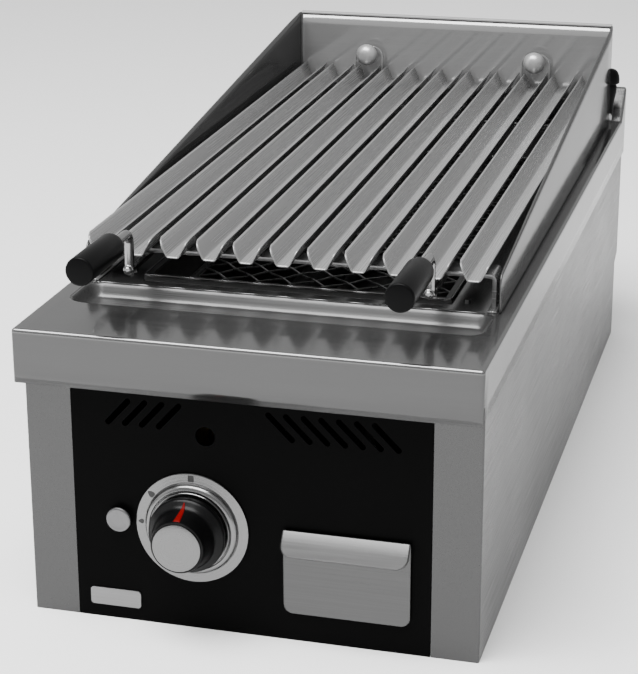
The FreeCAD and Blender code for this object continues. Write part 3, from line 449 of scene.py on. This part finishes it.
def flangeShadowStrips():
    # a narrow black strip under both side flanges: a painted shadow line at the joint with the side panel
    grids = []
    for sign in (-1, 1):
        path = [(sign * 0.1985, y, deck["flangeFoot"] - 0.0004) for y in np.linspace(-0.446, 0.449, 8)]
        grids.append(sweepGrid(barSection(0.0016, 0.0009, 0.0002), path, (1, 0, 0)))
    return makePiece("flange_shadow_strips", grids, "casing", [], inkAndShadowBlack, sharp=20, recalc=True)


worktopPiece()
flangeShadowStrips()
print("worktop made")

# splash guard

guardSizes = {"half": 0.1853, "front": -0.310, "rear": 0.401, "lowTop": 0.300, "highTop": 0.382,
              "corner": 0.004, "nose": 0.009, "wall": 0.0015, "rim": 0.0065, "curl": 0.0026, "flange": 0.010}


def guardTop(y):
    # a straight slope from front to rear, whose front end turns down in a quarter circle
    g = guardSizes
    line = g["lowTop"] + (y - g["front"]) * (g["highTop"] - g["lowTop"]) / (g["rear"] - g["front"])
    d = np.clip(g["nose"] - (y - g["front"]), 0, g["nose"])
    return line - (g["nose"] - np.sqrt(g["nose"] ** 2 - d ** 2))


def guardPiece():
    g = guardSizes
    noseY = g["front"] + g["nose"] * (1 - np.cos(np.linspace(0, math.pi / 2, 8)))
    run = np.concatenate([noseY, np.linspace(noseY[-1], g["rear"] - g["corner"], 18)[1:]])
    left = np.stack([np.full_like(run, -g["half"]), run], 1)
    turn = np.linspace(0, math.pi / 2, 7)[1:-1]
    bendX = -g["half"] + g["corner"] * (1 - np.cos(turn))
    bendY = g["rear"] - g["corner"] * (1 - np.sin(turn))
    across = np.stack([np.linspace(-g["half"] + g["corner"], 0, 9), np.full(9, g["rear"])], 1)
    halfPath = np.concatenate([left, np.stack([bendX, bendY], 1), across])
    path = np.concatenate([halfPath, halfPath[-2::-1] * (-1, 1)])
    levels, rimCount = 9, 30
    up = np.linspace(0, 1, levels)[:, None]
    top = np.minimum(guardTop(path[:, 1]), g["highTop"] - 0.0012)
    foot = deckTop + 0.0007
    z = foot + up * (top - foot)
    walls = np.concatenate([np.repeat(path[None], levels, 0), z[..., None]], -1)
    pieces = [(walls, gridFaces(levels, len(path)))]
    # the foot turns inwards along both sides and lies on the deck
    for sign in (-1, 1):
        inX = np.array([g["wall"], g["flange"]])
        strip = np.stack([np.repeat(sign * (g["half"] - inX)[:, None], len(run), 1),
                          np.repeat(run[None], 2, 0),
                          np.full((2, len(run)), deckTop + g["wall"] + 0.0001)], -1)
        faces = gridFaces(2, len(run))
        pieces.append((strip, faces[:, ::-1] if sign < 0 else faces))
    # the rear wall's top edge folds away from the grate
    rimX = np.linspace(-g["half"] + 0.0006, g["half"] - 0.0006, rimCount)
    middleY = g["rear"] + (g["rim"] - g["wall"]) / 2
    rimZ = g["highTop"] - g["curl"] / 2 - 0.0002
    rimPath = np.stack([rimX, np.full(rimCount, middleY), np.full(rimCount, rimZ)], 1)
    rim = sweepGrid(barSection(g["rim"] + g["wall"], g["curl"], 0.0009), rimPath, (0, 1, 0))
    makePiece("guard_rim", [rim], "casing", [], rimSteel, sharp=20, recalc=True)
    return makePiece("guard_sheet", pieces, "casing", ["splash_guard"], guardSteel,
                     sharp=40, wall=g["wall"])


guardPiece()
print("guard made")

# grate: channels, bars and hooks

channel = {"pitch": 0.0332, "count": 11, "top": 0.0135, "floor": 0.0057, "deep": 0.0162, "length": 0.724,
           "front": -0.326, "foot": 0.2972, "fall": 0.6, "wall": 0.0012, "nose": 0.0095, "fold": 0.0034}


def channelPiece(index):
    c = channel
    outline = roundedLine([(-c["top"], c["deep"]), (-c["floor"], 0), (c["floor"], 0), (c["top"], c["deep"])],
                          [0, c["fold"], c["fold"], 0], 5)
    t = np.linspace(0, 1, 9)[1:-1, None]
    sideRows = outline[0] + (outline[1] - outline[0]) * t
    line = np.concatenate([outline[:1], sideRows, outline[1:-1], sideRows[::-1] * (-1, 1), outline[-1:]])
    cut = np.clip(line[:, 1] - c["deep"] + c["nose"], 0, c["nose"])
    start = c["nose"] - np.sqrt(c["nose"] ** 2 - cut ** 2)
    v = np.concatenate([np.linspace(0, 0.02, 6), np.linspace(0.02, 1, 24)[1:]])
    y = start[:, None] + (c["length"] - start)[:, None] * v
    tilt = math.radians(c["fall"])
    x = np.repeat(line[:, 0, None], len(v), 1) + c["pitch"] * (index - (c["count"] - 1) / 2)
    z = np.repeat(line[:, 1, None], len(v), 1)
    points = np.stack([x, c["front"] + y * math.cos(tilt) - z * math.sin(tilt),
                       c["foot"] + y * math.sin(tilt) + z * math.cos(tilt)], -1)
    name = f"channel_{index + 1:02d}"
    return makePiece(f"slat_{index + 1:02d}", [(points, gridFaces(len(line), len(v)))], "grate", [name],
                     channelSteel, sharp=30, wall=c["wall"])


for index in range(channel["count"]):
    channelPiece(index)

bars = {"frontY": -0.285, "depth": 0.030, "thick": 0.004, "legX": 0.1812, "legFoot": 0.26775, "top": 0.29715,
        "rearHalf": 0.1762, "rearTop": 0.3039, "pinX": 0.0996}


def frontBarPiece():
    b = bars
    inset = b["thick"] / 2
    legX, crossZ = b["legX"] - inset, b["top"] - inset
    line = roundedLine([(-legX, b["legFoot"]), (-legX, crossZ), (legX, crossZ), (legX, b["legFoot"])],
                       [0, 0.004, 0.004, 0], 8)
    path = np.stack([line[:, 0], np.full(len(line), b["frontY"]), line[:, 1]], 1)
    grid = sweepGrid(barSection(b["depth"], b["thick"], 0.0006), path, (0, 1, 0))
    return makePiece("front_cross_bar", [grid], "grate", ["front_bar"], barSteel,
                     recalc=True)


def rearBarPiece():
    b = bars
    low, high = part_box("rear_bar")
    xs = np.linspace(-b["rearHalf"], b["rearHalf"], 6)
    path = np.stack([xs, np.full(6, (low.y + high.y) / 2), np.full(6, b["rearTop"] - b["thick"] / 2)], 1)
    grid = sweepGrid(barSection(high.y - low.y, b["thick"], 0.0006), path, (0, 1, 0))
    return makePiece("rear_cross_bar", [grid], "grate", ["rear_bar"], barSteel,
                     recalc=True)


def hooksPiece():
    low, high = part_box("hanger_hooks")
    legX, crownZ = 0.0164, high.z - 0.002
    line = roundedLine([(-legX, low.z), (-legX, crownZ), (legX, crownZ), (legX, low.z)],
                       [0, 0.012, 0.012, 0], 12)
    middleY = np.full(len(line), (low.y + high.y) / 2)
    grids = []
    for sign in (-1, 1):
        path = np.stack([line[:, 0] + sign * bars["pinX"], middleY, line[:, 1]], 1)
        grids.append(sweepGrid(barSection(0.003, 0.0026, 0.0005), path, (0, 1, 0)))
    return makePiece("rear_hooks", grids, "grate", ["hanger_hooks"], guardSteel,
                     sharp=20, recalc=True)


def holeBorder():
    # the thin lit edge of the firebox rim round the opening in the deck
    d = deck
    half, near, far = d["holeHalf"] + 0.0035, d["holeFront"] - 0.0040, d["holeRear"] + 0.0035
    line = roundedLine([(-half, near), (half, near), (half, far), (-half, far)], 0.003, 6, closed=True)
    ring = np.concatenate([line, line[:1]])
    path = np.stack([ring[:, 0], ring[:, 1], np.full(len(ring), deckTop + 0.0022)], 1)
    edge = sweepGrid(barSection(0.0016, 0.0018, 0.0004), path, (0, 0, 1), ends=False)
    return makePiece("firebox_edge", [edge], "casing", [], brightSteel, recalc=True)


holeBorder()
frontBarPiece()
rearBarPiece()
hooksPiece()
print("grate made")

# lift handles

handle = {"x": 0.1328, "z": 0.3235, "gripFront": -0.460, "gripLength": 0.076, "gripRadius": 12.3,
          "elbowY": -0.343, "boltZ": 0.2907, "rod": 0.0042, "bend": 0.009}


def handlePieces(side, sign):
    h = handle
    x = h["x"] * sign
    r, length = h["gripRadius"], h["gripLength"] * 1000
    nose = [(0, 0), (r - 2.2, 0), (r - 1.0, 0.3), (r - 0.3, 1.0), (r, 2.2)]
    tail = [(r, length - 5), (r - 0.5, length - 2.2), (r - 1.6, length - 0.6), (r - 2.6, length),
            (6, length), (0, length)]
    makePiece(f"grip_{side}", [latheGrid(nose + tail, (x, h["gripFront"], h["z"]), (0, 1, 0), 72)], "grate",
              [f"handle_grip_{side}"], grip, recalc=True)
    start = h["gripFront"] + h["gripLength"]
    line = roundedLine([(start + 0.004, h["z"]), (h["elbowY"], h["z"]), (h["elbowY"], h["boltZ"])],
                       [0, h["bend"], 0], 14)
    path = np.stack([np.full(len(line), x), line[:, 0], line[:, 1]], 1)
    rod = sweepGrid(circleSection(h["rod"], 28), path, (1, 0, 0))
    collar = latheGrid([(0, 0.05), (6.2, 0.05), (7.2, 1), (7.2, 5.6), (6.4, 6.8), (4.2, 7.2), (0, 7.2)],
                       (x, start, h["z"]), (0, 1, 0), 48)
    eye = latheGrid([(0, -4.5), (3.9, -4.5), (4.6, -3.9), (4.6, 3.9), (3.9, 4.5), (0, 4.5)],
                    (x, h["elbowY"], h["boltZ"]), (0, 1, 0), 40)
    makePiece(f"arm_{side}", [rod, collar, eye], "grate", [f"handle_arm_{side}"], brightSteel,
              recalc=True)


for side, sign in (("left", -1), ("right", 1)):
    handlePieces(side, sign)
print("handles made")

# control knob, bezel and igniter

knob = {"skirt": 33.5, "reach": 44.0, "cap": 22.3, "bezel": 50.0}


def knobPieces():
    s, reach, cap = knob["skirt"], knob["reach"], knob["cap"]
    body = [(0, 13.4), (9, 13.4), (9, 16.5), (s - 2.2, 16.5), (s - 2.2, 13.4), (s - 0.5, 13.4), (s, 13.9),
            (s, 17.6), (s - 0.5, 18.6), (s - 1.8, 19.8), (29.4, 21.2), (27.6, 23.0), (26.5, 25.6),
            (25.3, 31.0), (24.2, 37), (23.4, reach - 3), (23.0, reach - 1.9), (cap, reach - 1.4),
            (21.5, reach - 1.4), (21.4, reach - 3.1), (0, reach - 3.1)]
    makePiece("knob_body", [latheGrid(body, knobCentre, (0, -1, 0), 128)], "control_knob", ["knob_grip"],
              knobPlastic, sharp=28, recalc=True)
    face = [(0, reach - 3.05), (21.2, reach - 3.05), (21.2, reach - 0.9), (20.9, reach - 0.3), (20.2, reach),
            (14, reach), (7, reach), (0, reach)]
    makePiece("knob_face", [latheGrid(face, knobCentre, (0, -1, 0), 128)], "control_knob", ["knob_cap"],
              capSteel, sharp=28, recalc=True)


def pointerPiece():
    # a wedge on the knob's slope, widest beside the cap, pointing up at rest
    rows, columns = 5, 13
    along = np.linspace(0, 1, columns)
    shape = np.array([(23.4, 41.0), (24.2, 37.0), (25.3, 31.0), (26.5, 25.6), (27.6, 23.0), (29.4, 21.2),
                      (31.4, 20.1)])
    radius = np.interp(along, np.linspace(0, 1, len(shape)), shape[:, 0]) + 0.25
    height = np.interp(along, np.linspace(0, 1, len(shape)), shape[:, 1]) + 0.25
    half = 3.0 - 2.5 * along
    side = np.linspace(-1, 1, rows)[:, None] * half[None]
    sag = radius[None] - np.sqrt(radius[None] ** 2 - side ** 2)
    points = np.stack([knobCentre[0] + side * mm, np.repeat(panelY - height[None] * mm, rows, 0),
                       knobCentre[2] + (radius[None] - sag) * mm], -1)
    faces = gridFaces(rows, columns)[:, ::-1]
    return makePiece("knob_mark", [(points, faces)], "control_knob", ["knob_pointer"], redPaint,
                     wall=0.0003)


def bezelPiece():
    r = knob["bezel"]
    ring = [(12, 0), (r - 0.4, 0), (r, 0.4), (r, 1.4), (r - 0.3, 2.0), (r - 0.9, 2.2), (42.4, 2.2),
            (41.6, 2.5), (41.2, 3.2), (40.4, 5.0), (39.4, 6.4), (38.2, 7.2), (36.6, 7.5), (36.1, 7.0),
            (35.9, 6.2), (35.3, 6.1), (35.1, 6.6), (34.9, 8.2), (34.6, 8.6), (12, 8.6), (12, 0)]
    return makePiece("dial_ring", [latheGrid(ring, knobCentre, (0, -1, 0), 160)], "casing", ["dial_bezel"],
                     bezelSteel, sharp=28, recalc=True)


def markGrid(radius, angle, outline):
    # a flat mark: its outline shrinks to its middle, laid on the ring at a clock angle
    outline = np.array(outline, float) * mm
    rings = np.linspace(0, 1, 3)[:, None, None] * outline[None]
    a = math.radians(angle)
    out = np.array([math.sin(a), math.cos(a)])
    across = np.array([math.cos(a), -math.sin(a)])
    flat = rings[..., :1] * across + (rings[..., 1:] + radius * mm) * out
    points = np.stack([knobCentre[0] + flat[..., 0], np.full(flat.shape[:2], panelY - 0.00228),
                       knobCentre[2] + flat[..., 1]], -1)
    return points, gridFaces(3, len(outline), closed=True)


def dialMarks():
    square = roundedLine([(-2.6, -3), (2.6, -3), (2.6, 3), (-2.6, 3)], 0.6, 3, closed=True)
    t = np.linspace(0, 2 * math.pi, 24, endpoint=False)
    flame = np.stack([2.6 * np.sin(t) * (1 - 0.45 * np.cos(t)), 3.4 * np.cos(t) - 0.3], 1)
    small = flame * 0.75
    grids = [markGrid(45.6, 0, square), markGrid(45.6, -52, flame), markGrid(45.6, -88, small)]
    return makePiece("dial_marks", grids, "casing", [], inkAndShadowBlack)


def buttonPiece():
    face = [(0, -8), (5, -8), (5, 4), (10.6, 4), (11, 4.4), (11, 5.7), (10.6, 6.4), (9.8, 6.9),
            (8.8, 7.0), (8.3, 6.8), (4, 6.9), (0, 7.0)]
    return makePiece("igniter_cap", [latheGrid(face, (-0.1153, panelY, 0.0965), (0, -1, 0), 72)], "igniter",
                     ["igniter_button"], buttonSteel, sharp=28, recalc=True)


knobPieces()
pointerPiece()
bezelPiece()
dialMarks()
buttonPiece()
print("controls made")

# drawer front and badge

drawer = {"left": 0.030, "right": 0.1393, "foot": 0.027, "crest": 0.107, "wall": 0.0015, "corner": 0.008,
          "flapCorner": 0.010, "reach": 0.0155, "fall": 0.0215}
plateColumns = 15   # points across the drawer front and the badge


def drawerPiece():
    d = drawer
    face = panelY - 0.0019
    half, mid = (d["right"] - d["left"]) / 2, (d["right"] + d["left"]) / 2
    line = roundedLine([(face, d["foot"]), (face, d["crest"]), (face - d["reach"], d["crest"] - d["fall"])],
                       [0, 0.0016, 0], 6)
    seg = np.linalg.norm(np.diff(line, axis=0), axis=1)
    at = np.concatenate([[0], np.cumsum(seg)])
    plate = d["crest"] - d["foot"]
    s = np.unique(np.concatenate([d["corner"] * (1 - np.cos(np.linspace(0, math.pi / 2, 9))),
                                  np.linspace(d["corner"], plate - 0.004, 6), at[1:-1],
                                  at[-1] - d["flapCorner"] * (1 - np.cos(np.linspace(0, math.pi / 2, 9)))]))
    y, z = np.interp(s, at, line[:, 0]), np.interp(s, at, line[:, 1])
    width = np.minimum(cornerHalfWidths(s, half, d["corner"]),
                       cornerHalfWidths(at[-1] - s, half, d["flapCorner"]))
    gx, gy = widthGrid(y, width, plateColumns)
    points = np.stack([gx + mid, gy, np.repeat(z[:, None], plateColumns, 1)], -1)
    faces = gridFaces(len(s), plateColumns)
    return makePiece("drawer_face", [(points, faces)], "grease_drawer", ["drawer_front"], steelX,
                     sharp=30, wall=-d["wall"])


def badgePiece():
    low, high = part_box("blank_badge")
    half, mid = (high.x - low.x) / 2, (high.x + low.x) / 2
    s = endSpaced(high.z - low.z, 0.003, 4)
    width = np.minimum(cornerHalfWidths(s, half, 0.003), cornerHalfWidths(s[-1] - s, half, 0.003))
    gx, gz = widthGrid(low.z + s, width, plateColumns)
    points = np.stack([gx + mid, np.full_like(gx, low.y), gz], -1)
    faces = gridFaces(len(s), plateColumns)
    return makePiece("badge_plate", [(points, faces)], "casing", ["blank_badge"], badgeSteel,
                     sharp=30, wall=0.0011, bevel=0.0003)


drawerPiece()
badgePiece()
print("drawer and badge made")

# guard knobs and hanger pins

def clampKnob(side, sign):
    low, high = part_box(f"guard_knob_{side}")
    centre = ((low.x + high.x) / 2, (low.y + high.y) / 2, deckTop)
    shape = [(3.06, 10), (4.3, 10), (4.8, 10.6), (5.2, 20), (5.8, 25), (6.9, 30), (7.9, 35), (8.3, 39),
             (8.0, 42.4), (7.4, 44.6), (8.0, 45.2), (9.8, 45.5), (10.7, 46.1), (11, 47.6), (10.9, 51),
             (10.2, 55), (8.6, 59), (6.2, 61.4), (3.2, 62.6), (0, 62.8), (0, 27), (3.06, 27), (3.06, 10)]
    return makePiece(f"clamp_{side}", [latheGrid(shape, centre, (0, 0, 1), 56)], f"clamp_knob_{side}",
                     [f"guard_knob_{side}"], grip, recalc=True)


def pinsPiece():
    low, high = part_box("hanger_pins")
    z = (low.z + high.z) / 2
    shape = [(0, -5), (5.6, -5), (6, -4.6), (6, -0.1), (3, -0.1), (3, 1.6), (4, 1.6), (4, 18.4), (5, 18.5),
             (11.6, 18.6), (12.3, 19.2), (12.5, 20.2), (12.1, 22), (11.0, 24.4), (8.8, 26.8), (5.8, 28.3),
             (2.8, 28.9), (0, 29)]
    grids = [latheGrid(shape, (sign * bars["pinX"], guardSizes["rear"], z), (0, -1, 0), 56)
             for sign in (-1, 1)]
    return makePiece("hanger_studs", grids, "casing", ["hanger_pins"], pinSteel, recalc=True)


for side, sign in (("left", -1), ("right", 1)):
    clampKnob(side, sign)
pinsPiece()
print("small parts made")

# burner mesh: crossed strands, each family rising over the other

meshSizes = {"pitch": 0.032, "width": 0.0017, "thick": 0.0014, "wave": 0.0007, "margin": 0.003, "steps": 49}


def meshPiece():
    low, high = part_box("burner_mesh")
    m = meshSizes
    grids = []
    centreX, level = (low.x + high.x) / 2, (low.z + high.z) / 2
    reach = (high.y - low.y) + (high.x - low.x)
    for family in (-1, 1):
        starts = np.arange(low.y - reach, high.y + reach, m["pitch"])
        x0, x1 = low.x + m["margin"], high.x - m["margin"]
        # y = start + family * (x - centre); each strand is cut where it meets the frame
        ya = starts + family * (x0 - centreX)
        yb = starts + family * (x1 - centreX)
        lowY, highY = low.y + m["margin"], high.y - m["margin"]
        ta = np.clip((lowY - ya) / (yb - ya), 0, 1)
        tb = np.clip((highY - ya) / (yb - ya), 0, 1)
        t0, t1 = np.minimum(ta, tb), np.maximum(ta, tb)
        keep = (t1 - t0) > 0.02
        ya, yb, t0, t1 = ya[keep], yb[keep], t0[keep], t1[keep]
        steps = np.linspace(0, 1, m["steps"])
        t = t0[:, None] + (t1 - t0)[:, None] * steps
        x = x0 + (x1 - x0) * t
        y = ya[:, None] + (yb - ya)[:, None] * t
        z = level + family * m["wave"] * np.cos((x - centreX) / m["pitch"] * 2 * math.pi)
        side = np.array([-family, 1]) / math.sqrt(2)
        corners = [(-1, -1), (1, -1), (1, 1), (-1, 1)]
        loop = [np.stack([x + a * side[0] * m["width"] / 2, y + a * side[1] * m["width"] / 2,
                          z + b * m["thick"] / 2], -1) for a, b in corners]
        points = np.stack(loop, 2)
        strand = gridFaces(m["steps"], 4, closed=True)
        firstPoint = np.arange(len(points)) * m["steps"] * 4
        faces = (strand[None] + firstPoint[:, None, None]).reshape(-1, 4)
        grids.append((points, faces))
    inset = 0.0025
    near, far = low.y + inset, high.y - inset
    left, right = low.x + inset, high.x - inset
    border = roundedLine([(left, near), (right, near), (right, far), (left, far)], 0.002, 4, closed=True)
    ring = np.concatenate([border, border[:1]])
    path = np.stack([ring[:, 0], ring[:, 1], np.full(len(ring), level)], 1)
    grids.append(sweepGrid(barSection(0.0022, 0.0042, 0.0003), path, (0, 0, 1), ends=False))
    return makePiece("mesh_strands", grids, "casing", ["burner_mesh"], meshSteel, recalc=True)


meshPiece()
print("mesh made")

# finishes of the parts that stay as they are

keptFinishes = {
    "left_side_panel": steelY, "right_side_panel": steelY, "rear_panel": steelX, "base_plate": insideSteel,
    "control_panel": panelPaint, "firebox": fireSteel,
    "burner_tubes": blackSteel, "burner_header": blackSteel, "burner_brackets": blackSteel,
    "injector": brass, "thermocouple": brightSteel, "spark_electrode": ceramic,
    "gas_inlet": brass, "supply_pipe": insideSteel, "valve_inlet": brass, "valve_body": brass,
    "valve_riser": brass, "valve_spindle": brass, "igniter_body": knobPlastic,
    "drain_spout": insideSteel, "drawer_tray": insideSteel,
    "drawer_rail_left": insideSteel, "drawer_rail_right": insideSteel,
    "handle_lugs": brightSteel, "handle_bolts": brightSteel, "guard_studs": brightSteel,
    "firebox_screws": brightSteel, "rear_screws": brightSteel,
}
for nodeName, finish in keptFinishes.items():
    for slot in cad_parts[nodeName].material_slots:
        slot.material = finish
print("finishes put on")

# floor, light and camera

studio = {"floor": 0.92, "sky": 0.80, "key": 280, "fill": 15, "rim": 1}


def stageFloor():
    material, tree, shader = newMaterial("floorPaper", (studio["floor"],) * 3, 0.0, 0.9)
    paper = noiseOn(tree, 60.0, (1, 1, 1), 3.0)
    tree.links.new(blendColours(tree, paper, (studio["floor"] * 0.99,) * 3, (studio["floor"],) * 3),
                   shader.inputs["Base Color"])
    count, reach = 9, 9
    line = np.linspace(-reach, reach, count)
    gx, gy = np.meshgrid(line, line + 3)
    mesh = bpy.data.meshes.new("floor")
    points = np.stack([gx, gy, np.zeros_like(gx)], -1).reshape(-1, 3)
    mesh.from_pydata(points.tolist(), [], gridFaces(count, count).tolist())
    mesh.materials.append(material)
    floor = bpy.data.objects.new("floor", mesh)
    bpy.context.scene.collection.objects.link(floor)


def softLight(name, place, target, size, power):
    light = bpy.data.lights.new(name, "AREA")
    light.shape = "RECTANGLE"
    light.size, light.size_y = size
    light.energy = power
    lamp = bpy.data.objects.new(name, light)
    lamp.location = place
    lamp.rotation_euler = (Vector(target) - Vector(place)).to_track_quat("-Z", "Y").to_euler()
    bpy.context.scene.collection.objects.link(lamp)


def studioSky():
    world = bpy.data.worlds.new("studioSky")
    world.use_nodes = True
    world.node_tree.nodes["Background"].inputs["Color"].default_value = (1, 1, 1, 1)
    world.node_tree.nodes["Background"].inputs["Strength"].default_value = studio["sky"]
    bpy.context.scene.world = world


view = {"place": (0.4593, -1.9071, 0.8170), "azimuth": 15.51, "elevation": 18.94, "roll": -0.25,
        "lens": 113.72, "shift": (0.0205, -0.0309)}


def viewCamera():
    # back points from the object to the camera; the roll turns right and up about it
    az, el, roll = (math.radians(view[k]) for k in ("azimuth", "elevation", "roll"))
    back = Vector((math.sin(az) * math.cos(el), -math.cos(az) * math.cos(el), math.sin(el)))
    right = Vector((math.cos(az), math.sin(az), 0))
    up = back.cross(right)
    rolledRight = right * math.cos(roll) + up * math.sin(roll)
    rolledUp = up * math.cos(roll) - right * math.sin(roll)
    lens = bpy.data.cameras.new("viewCamera")
    lens.sensor_fit = "HORIZONTAL"
    lens.sensor_width = 36
    lens.lens = view["lens"]
    lens.shift_x, lens.shift_y = view["shift"]
    lens.clip_end = 50
    camera = bpy.data.objects.new("viewCamera", lens)
    bpy.context.scene.collection.objects.link(camera)
    turn = Matrix((rolledRight, rolledUp, back)).transposed().to_4x4()
    camera.matrix_world = Matrix.Translation(view["place"]) @ turn
    bpy.context.scene.camera = camera


stageFloor()
softLight("keyLight", (-0.6, -1.2, 3.0), (0, 0, 0.2), (2.6, 2.0), studio["key"])
softLight("fillLight", (-3.0, -1.8, 1.4), (0, 0, 0.2), (2.0, 2.0), studio["fill"])
softLight("rimLight", (2.6, 1.2, 2.0), (0, 0, 0.2), (1.6, 2.0), studio["rim"])
studioSky()
viewCamera()
print("stage ready")
